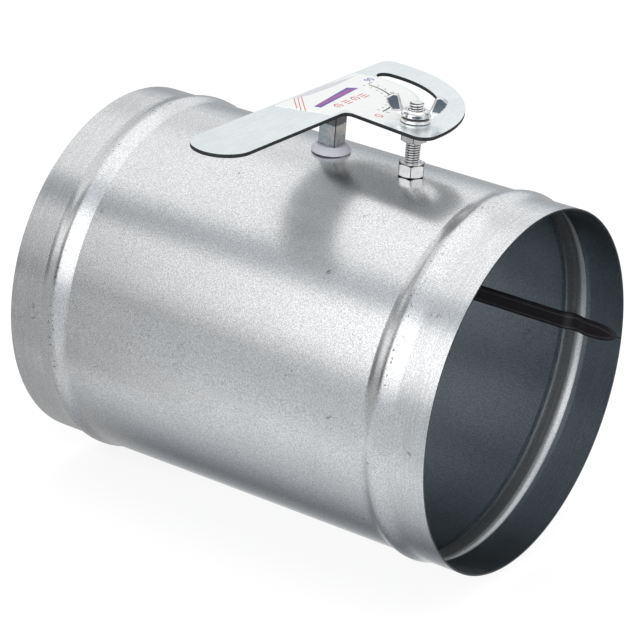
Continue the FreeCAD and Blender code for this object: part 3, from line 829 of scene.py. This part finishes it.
def sink_faces(mesh):
    """Sink the wings' faces and the mark into the wing nut's mesh."""
    for vertex in mesh.vertices:
        place = vertex.co
        share = min(1.0, max(0.0, face_depth(place) / FACE_SLOPE))
        share = share * share * (3 - 2 * share)
        place.y += MARK_DEPTH * mark_share(place) - math.copysign(FACE_DEPTH * share, place.y)


def finish_faces(mesh):
    """Smooth shading, with the second finish on the sunk faces and black painted shade in the
    undercut.
    """
    for face in mesh.polygons:
        face.use_smooth = True
        centre = face.center
        away = math.hypot(centre.x, centre.y)
        if face_depth(centre) > FACE_MARGIN or mark_share(centre) > 0.5:
            face.material_index = 1
        elif centre.z < UNDERCUT_HEIGHT and face.normal.z < -0.2 and away > UNDERCUT_RADIUS:
            face.material_index = 2


def make_wing_nut():
    """Cast wing nut: hub and wings grown together, with a sunk face on each wing, a mark on
    the hub and black painted shade in the undercut round its foot."""
    cast = plated("cast_zinc", 0.88, 0.14)
    mirror = Matrix.Diagonal((-1, -1, 1)).to_4x4()
    wing = upright_prism(WING_OUTLINE, WING_HALF_THICKNESS)
    shape = joined(lathe(HUB_PROFILE), wing, placed(wing, mirror))
    piece = new_piece("wing_nut_cast", shape, cast, "wing_nut")
    mesh = wing_nut_mesh(piece)
    piece.data = mesh
    mesh.materials.append(plated("wing_face", 0.22, 0.3, tint=0.18))
    # Near black: painted shade in the undercut.
    mesh.materials.append(matt("undercut", grey(0.01), 0.6))
    sink_faces(mesh)
    finish_faces(mesh)
    middle = (WING_LOW + WING_HIGH) / 2
    foot = Matrix.Translation((middle.x, middle.y, WING_LOW.z))
    turn = Matrix.Rotation(WING_TURN, 4, "Z")
    mesh.transform(foot @ turn @ Matrix.Scale(MM, 4))
    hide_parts("wing_nut")


# The label's print, in millimetres from the shaft's axis: X to the outlet, Y from the lever.
PRINT_THICKNESS = 0.02 * MM
BAR = [(0.4, -15.2), (3.1, -14.4), (0.1, 16.5), (-3.5, 13.3)]
# A light grey band along the label's left edge, laid on the label like the print.
LABEL_EDGE_BAND = [
    (-10.8, -14.5), (-8.9, -5.5), (-8.2, 7.3), (-8.4, 16.0), (-9.6, 30.0), (-11.2, 11.7),
    (-11.2, -8.0),
]
HATCH_LINES = [
    ((-10.7, -13.0), (-2.9, -22.1)),
    ((-10.2, -11.1), (-1.0, -22.1)),
    ((-9.8, -9.2), (0.8, -21.6)),
]
HATCH_WIDTH = 0.35
# The scale's arc, and where its ticks begin and end: short and long ones outside, and inside.
SCALE_RADIUS = 22.9
SCALE_WIDTH = 0.75
OUTER_TICKS = (24.2, 25.4, 26.2)
INNER_TICKS = (20.2, 21.2)
TICK_WIDTH = 0.4
# The signs that stand in place of words: rings, and bars beside each other.
SIGN_PLACES = [(6.6, -7.2), (6.6, -1.1), (6.4, 4.8), (6.8, 10.1)]
SIGN_RING = (1.7, 0.55)
SIGN_RING_BAR_HALF = 0.8
SIGN_BARS = (-1.5, 0.0, 1.5)
SIGN_BAR_HALF = 1.9
SIGN_BAR_WIDTH = 0.5
# The numbers at the scale's ends, with their middles and sizes.
NUMBER_OPEN = ("90", (-2.5, 28.3), 4.8)
NUMBER_SHUT = ("0", (25.0, -5.8), 5.6)


def flat_prism(outline, level=0):
    """Thin print over an outline in millimetres, on the label or on other print."""
    foot = LABEL_TOP + level * PRINT_THICKNESS
    rings = []
    for height in (foot, foot + PRINT_THICKNESS):
        rings.append([(SHAFT_X + x * MM, y * MM, height) for x, y in outline])
    return capped_rings(rings)


def stroke(start, end, width):
    """Outline of a straight line."""
    start, end = Vector(start), Vector(end)
    along = (end - start).normalized() * width / 2
    side = Vector((-along.y, along.x))
    return [tuple(start - side), tuple(end - side), tuple(end + side), tuple(start + side)]


def arc_band(centre, radius, width, first, last, steps):
    """Outline of a curved line, between two angles in degrees."""
    outline = []
    for offset, order in ((width / 2, range(steps + 1)), (-width / 2, range(steps, -1, -1))):
        for step in order:
            angle = math.radians(first + (last - first) * step / steps)
            reach = radius + offset
            outline.append((centre[0] + reach * math.cos(angle), centre[1] + reach * math.sin(angle)))
    return outline


def shrunk(outline, x_share, y_share):
    """An outline drawn in towards its middle."""
    middle_x = sum(x for x, y in outline) / len(outline)
    middle_y = sum(y for x, y in outline) / len(outline)
    points = []
    for x, y in outline:
        points.append((middle_x + (x - middle_x) * x_share, middle_y + (y - middle_y) * y_share))
    return points


def sign_outlines():
    """Outlines of the signs: a ring with a bar, then three bars, and so on."""
    outlines = []
    for index, (x, y) in enumerate(SIGN_PLACES):
        if index % 2:
            for offset in SIGN_BARS:
                start, end = (x + offset, y - SIGN_BAR_HALF), (x + offset, y + SIGN_BAR_HALF)
                outlines.append(stroke(start, end, SIGN_BAR_WIDTH))
        else:
            start, end = (x - SIGN_RING_BAR_HALF, y), (x + SIGN_RING_BAR_HALF, y)
            outlines.append(arc_band((x, y), *SIGN_RING, 20, 340, 24))
            outlines.append(stroke(start, end, SIGN_BAR_WIDTH))
    return outlines


def scale_outlines():
    """Outlines of the scale's arc and its ticks every 10 degrees."""
    outlines = [arc_band((0, 0), SCALE_RADIUS, SCALE_WIDTH, -1, 88, 48)]
    foot, short, long = OUTER_TICKS
    inner_foot, inner_end = INNER_TICKS
    for step in range(10):
        angle = math.radians(step * 10)
        way = Vector((math.cos(angle), math.sin(angle)))
        end = short if step % 3 else long
        outlines.append(stroke(way * foot, way * end, TICK_WIDTH))
        outlines.append(stroke(way * inner_foot, way * inner_end, TICK_WIDTH))
    return outlines


def print_piece(name, outlines, ink, level=0):
    """Print in one ink over its outlines."""
    shape = joined(*[flat_prism(outline, level) for outline in outlines])
    new_piece(name, shape, ink, "blade_and_handle")


def make_print():
    """The label's print: a bar, hatch lines, four plain signs, the scale and its numbers, and a
    grey band along the label's left edge.
    """
    black = matt("ink_black", grey(0.02), 0.4)
    red = matt("ink_red", (0.62, 0.045, 0.03, 1), 0.4)
    blue = matt("ink_blue", (0.075, 0.075, 0.33, 1), 0.4)
    pink = matt("ink_pink", (0.34, 0.075, 0.30, 1), 0.4)
    edge_grey = matt("label_edge_grey", (0.66, 0.645, 0.69, 1), 0.4)
    print_piece("label_edge_band", [LABEL_EDGE_BAND], edge_grey)
    print_piece("print_bar", [BAR], blue)
    print_piece("print_bar_middle", [shrunk(BAR, 0.55, 0.9)], pink, level=1)
    print_piece("print_hatch", [stroke(*ends, HATCH_WIDTH) for ends in HATCH_LINES], red)
    print_piece("print_signs", sign_outlines(), red)
    print_piece("print_scale", scale_outlines(), black)
    make_number("print_number_open", *NUMBER_OPEN, blue)
    make_number("print_number_shut", *NUMBER_SHUT, red)


def make_number(name, text, place, size, ink):
    """A plain number that reads along +Y."""
    curve = bpy.data.curves.new(name, "FONT")
    curve.body = text
    curve.size = size * MM
    curve.align_x = "CENTER"
    curve.align_y = "CENTER"
    curve.extrude = PRINT_THICKNESS / 2
    curve.resolution_u = 6
    writing = bpy.data.objects.new(name, curve)
    bpy.context.scene.collection.objects.link(writing)
    view = bpy.context.evaluated_depsgraph_get()
    mesh = bpy.data.meshes.new_from_object(writing.evaluated_get(view))
    bpy.data.objects.remove(writing)
    shape = bmesh.new()
    shape.from_mesh(mesh)
    bmesh.ops.remove_doubles(shape, verts=shape.verts, dist=0.001 * MM)
    middle = (SHAFT_X + place[0] * MM, place[1] * MM, LABEL_TOP + PRINT_THICKNESS / 2)
    shape.transform(Matrix.Translation(middle) @ Matrix.Rotation(math.radians(90), 4, "Z"))
    shape.to_mesh(mesh)
    shape.free()
    mesh.materials.clear()
    mesh.materials.append(ink)
    piece = bpy.data.objects.new(name, mesh)
    bpy.context.scene.collection.objects.link(piece)
    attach(piece, "blade_and_handle")


# The studio as the polished metal sees it: angle round the duct axis in degrees, from level
# behind the part over its top to level in front of it, and how bright it is there.
STUDIO_RING = [
    (0, 0.42), (9, 0.55), (19, 0.88), (30, 1.02), (46, 0.92), (63, 1.22), (107, 1.22),
    (121, 0.64), (128, 0.64), (139, 1.66), (161, 1.70), (173, 1.26), (180, 0.80),
]
# The floor as the metal sees it: place across the duct axis in millimetres and brightness.
# A painted shadow of the part lies in front of it, a painted pool of light lies on the floor by
# the part, and far behind it the floor is dark.
FLOOR_BANDS = [
    (-2000, 0.66), (-500, 0.60), (-230, 0.67), (-140, 0.84), (-105, 0.76), (-85, 0.60),
    (-62, 0.35), (-50, 0.19), (-36, 0.13), (-27, 0.62), (-17, 1.08), (350, 1.08), (430, 0.16),
    (2000, 0.18),
]
# The painted shadow ends on a slanted line. Past it, and in front of it, the floor has one grey.
# It fades in between these places: past the end, from the shadow's front on, and beside that front.
SHADOW_SLANT = 0.66
SHADOW_END_FADE = (-190 * MM, -110 * MM)
SHADOW_FRONT_FADE = (-140 * MM, -90 * MM)
SHADOW_SIDE_FADE = (-155 * MM, -40 * MM)
FREE_FLOOR = 0.45
# The floor's half width, how white it glows to the camera and the share of that glow.
FLOOR_HALF = 4.0
FLOOR_GLOW = 1.085
GLOW_SHARE = 0.75
# The soft lamp beside the camera.
FILL_PLACE = (0.55, -1.30, 0.62)
FILL_SIZE = 0.8
FILL_POWER = 9.0


def make_ramp(nodes, value, stops, tint):
    """A smooth ramp through stops of (value, brightness), bluish where it is dark."""
    first, last = stops[0][0], stops[-1][0]
    share = nodes.math("DIVIDE", nodes.math("SUBTRACT", value, first), last - first)
    node = nodes.add("ShaderNodeValToRGB")
    node.color_ramp.interpolation = "EASE"
    elements = node.color_ramp.elements
    while len(elements) < len(stops):
        elements.new(0.5)
    for element, (place, level) in zip(elements, stops):
        element.position = (place - first) / (last - first)
        element.color = grey(level, tint * max(0.0, 1 - level))
    nodes.put(node.inputs[0], share)
    return node.outputs[0]


def off_painted_shadow(nodes, along, across):
    """Mask of the floor past the painted shadow's slanted end and in front of the painted shadow."""
    slanted = nodes.math("SUBTRACT", along, nodes.math("MULTIPLY", across, SHADOW_SLANT))
    past_end = nodes.spread(slanted, *SHADOW_END_FADE, 1, 0)
    in_front = nodes.spread(across, *SHADOW_FRONT_FADE, 1, 0)
    aside = nodes.spread(slanted, *SHADOW_SIDE_FADE, 1, 0)
    return nodes.math("MAXIMUM", past_end, nodes.math("MULTIPLY", in_front, aside))


def floor_finish():
    """White with a faint shadow for the camera, and bands of painted light and shadow for the
    metal that mirrors it.
    """
    material = bpy.data.materials.new("floor")
    nodes = Nodes(material)
    shader = nodes.tree.nodes["Principled BSDF"]
    shader.inputs["Base Color"].default_value = grey(0.9)
    shader.inputs["Roughness"].default_value = 0.9
    shader.inputs["Specular IOR Level"].default_value = 0.0
    glow = nodes.add("ShaderNodeEmission")
    glow.inputs["Strength"].default_value = FLOOR_GLOW
    along, across, height = nodes.split(nodes.add("ShaderNodeTexCoord").outputs["Object"])
    band = make_ramp(nodes, nodes.math("DIVIDE", across, MM), FLOOR_BANDS, 0.08)
    band = nodes.blend(off_painted_shadow(nodes, along, across), band, grey(FREE_FLOOR))
    bands = nodes.add("ShaderNodeEmission")
    nodes.put(bands.inputs["Color"], band)
    rays = nodes.add("ShaderNodeLightPath").outputs
    seen = nodes.add("ShaderNodeMixShader")
    nodes.put(seen.inputs[0], nodes.math("MULTIPLY", rays["Is Camera Ray"], GLOW_SHARE))
    nodes.put(seen.inputs[1], shader.outputs[0])
    nodes.put(seen.inputs[2], glow.outputs[0])
    mirrored = nodes.add("ShaderNodeMixShader")
    nodes.put(mirrored.inputs[0], rays["Is Glossy Ray"])
    nodes.put(mirrored.inputs[1], seen.outputs[0])
    nodes.put(mirrored.inputs[2], bands.outputs[0])
    nodes.put(nodes.tree.nodes["Material Output"].inputs["Surface"], mirrored.outputs[0])
    return material


def add_stage():
    """A level floor at the part's lowest point."""
    lowest = cad_box[0].z
    corners = [(-1, -1), (1, -1), (1, 1), (-1, 1)]
    mesh = bpy.data.meshes.new("floor")
    points = [(x * FLOOR_HALF, y * FLOOR_HALF, lowest) for x, y in corners]
    mesh.from_pydata(points, [], [(0, 1, 2, 3)])
    mesh.materials.append(floor_finish())
    floor = bpy.data.objects.new("floor", mesh)
    bpy.context.scene.collection.objects.link(floor)


def lamp_fade(nodes, far, across):
    """The lamps fade towards their ends, and first the front one, which is shorter."""
    front = nodes.spread(across, -0.80, -0.30, 1.0, 0.0)
    fade = nodes.math("MULTIPLY", front, nodes.spread(far, 0.47, 0.61, 0.0, 0.74))
    ends = nodes.spread(far, 0.46, 0.66, 1.0, 0.72)
    return nodes.math("SUBTRACT", ends, fade)


def lamp_gap(nodes, far, angle):
    """The dark gap between the two lamps is deeper towards their ends as well."""
    gap = nodes.spread(angle, 110, 122)
    gap = nodes.math("MULTIPLY", gap, nodes.spread(angle, 129, 140, 1, 0))
    gap = nodes.math("MULTIPLY", gap, nodes.spread(far, 0.52, 0.60, 0.0, 0.40))
    return nodes.math("SUBTRACT", 1.0, gap)


def add_studio():
    """A studio with long soft lamps over and in front of the part, white to the camera."""
    world = bpy.data.worlds.new("studio")
    bpy.context.scene.world = world
    nodes = Nodes(world)
    direction = nodes.add("ShaderNodeTexCoord").outputs["Generated"]
    along, across, height = nodes.split(direction)
    far = nodes.math("ABSOLUTE", along)
    angle = nodes.math("MULTIPLY", nodes.math("ARCTAN2", height, across), 180 / math.pi)
    level = make_ramp(nodes, angle, STUDIO_RING, 0.14)
    level = nodes.tinted(1.0, level, lamp_fade(nodes, far, across))
    level = nodes.tinted(1.0, level, lamp_gap(nodes, far, angle))
    to_camera = nodes.add("ShaderNodeLightPath").outputs["Is Camera Ray"]
    background = nodes.tree.nodes["Background"]
    nodes.put(background.inputs["Color"], nodes.blend(to_camera, level, (1, 1, 1, 1)))


def add_fill():
    """A soft lamp beside the camera fills the shade under the plate and leaves no glint."""
    lamp = bpy.data.objects.new("fill", bpy.data.lights.new("fill", "AREA"))
    bpy.context.scene.collection.objects.link(lamp)
    lamp.data.size = FILL_SIZE
    lamp.data.energy = FILL_POWER
    lamp.location = FILL_PLACE
    lamp.rotation_euler = (-Vector(FILL_PLACE)).to_track_quat("-Z", "Y").to_euler()
    lamp.visible_glossy = False


# The pieces with softened edges, and how wide those are.
BUSHES = ("upper_bush", "lower_bush")
BUSH_BEVEL = 0.2 * MM
PLATE_BEVEL = 0.12 * MM
WASHERS = (
    "stud_head_washer", "plate_support_washer", "clamp_washer",
    "blade_washer_upper", "blade_washer_lower",
)
WASHER_BEVEL = 0.15 * MM


def dress_cad(bright):
    """Finish every CAD node that keeps its own shape."""
    finish_node("tube_shell", galvanised("galvanised_sheet", 0.74, 0.24))
    # The blade's sheet is darker than the tube's: painted shade, as it sits inside the tube.
    finish_node("blade_disc", galvanised("blade_sheet", 0.5, 0.36))
    finish_node("square_shaft", shaft_zinc())
    finish_node("handle_plate", plate_zinc(), PLATE_BEVEL)
    finish_node("scale_label", matt("label_film", (0.86, 0.87, 0.86, 1), 0.4, contrast=0.03))
    bush = matt("bush_plastic", (0.66, 0.66, 0.71, 1), 0.45)
    for name in BUSHES:
        finish_node(name, bush, BUSH_BEVEL)
    for name in WASHERS:
        finish_node(name, bright, WASHER_BEVEL)


add_camera()
add_stage()
add_studio()
add_fill()
bright_zinc = plated("bright_zinc", 0.93, 0.13, metallic=0.6)
dress_cad(bright_zinc)
make_nuts(bright_zinc)
make_bolts()
make_wing_nut()
make_strip()
make_print()

bpy.context.scene.view_settings.view_transform = "Standard"
